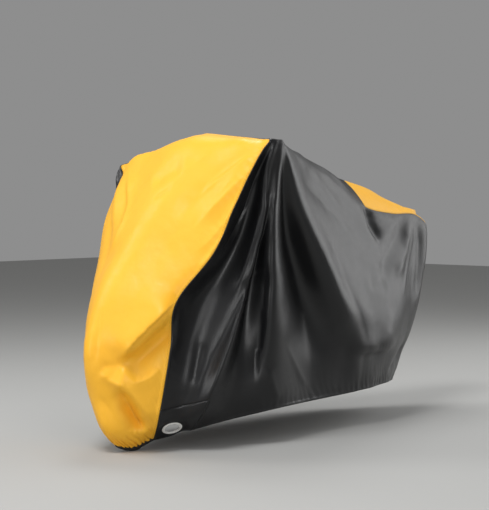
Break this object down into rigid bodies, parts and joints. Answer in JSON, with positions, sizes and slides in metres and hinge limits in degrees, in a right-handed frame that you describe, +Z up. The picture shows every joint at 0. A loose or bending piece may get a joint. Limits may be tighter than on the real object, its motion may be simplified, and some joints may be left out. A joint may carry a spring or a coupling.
{
  "type": "motorcycle cover",
  "caption": "Fitted weatherproof cloth cover draped over a motorcycle, bright front and tail panels, dark sides, lock eyelets by the front hem",
  "frame": {"origin": "on the underside of the cloth at its top, over the handlebars, on the motorcycle's centre plane (the mount under_top)", "axes": "+X along the motorcycle toward its tail, +Y toward its right side, +Z up"},
  "size_m": [2.2223, 0.8967, 1.3028],
  "materials": {
    "panel_front": "yellow coated polyester, satin",
    "panel_rear": "yellow coated polyester, satin",
    "panel_side_left": "black coated polyester, satin",
    "panel_side_right": "black coated polyester, satin",
    "hem_band_front": "black woven binding",
    "lock_patch_left": "black coated polyester, satin",
    "lock_patch_right": "black coated polyester, satin",
    "eyelet_left": "pale pressed metal",
    "eyelet_right": "pale pressed metal"
  },
  "bodies": {
    "root": {"panel_front": "panel_front", "panel_rear": "panel_rear", "panel_side_left": "panel_side_left", "panel_side_right": "panel_side_right", "hem_band_front": "hem_band_front", "lock_patch_left": "lock_patch_left", "lock_patch_right": "lock_patch_right", "eyelet_left": "eyelet_left", "eyelet_right": "eyelet_right"}
  },
  "joints": []
}
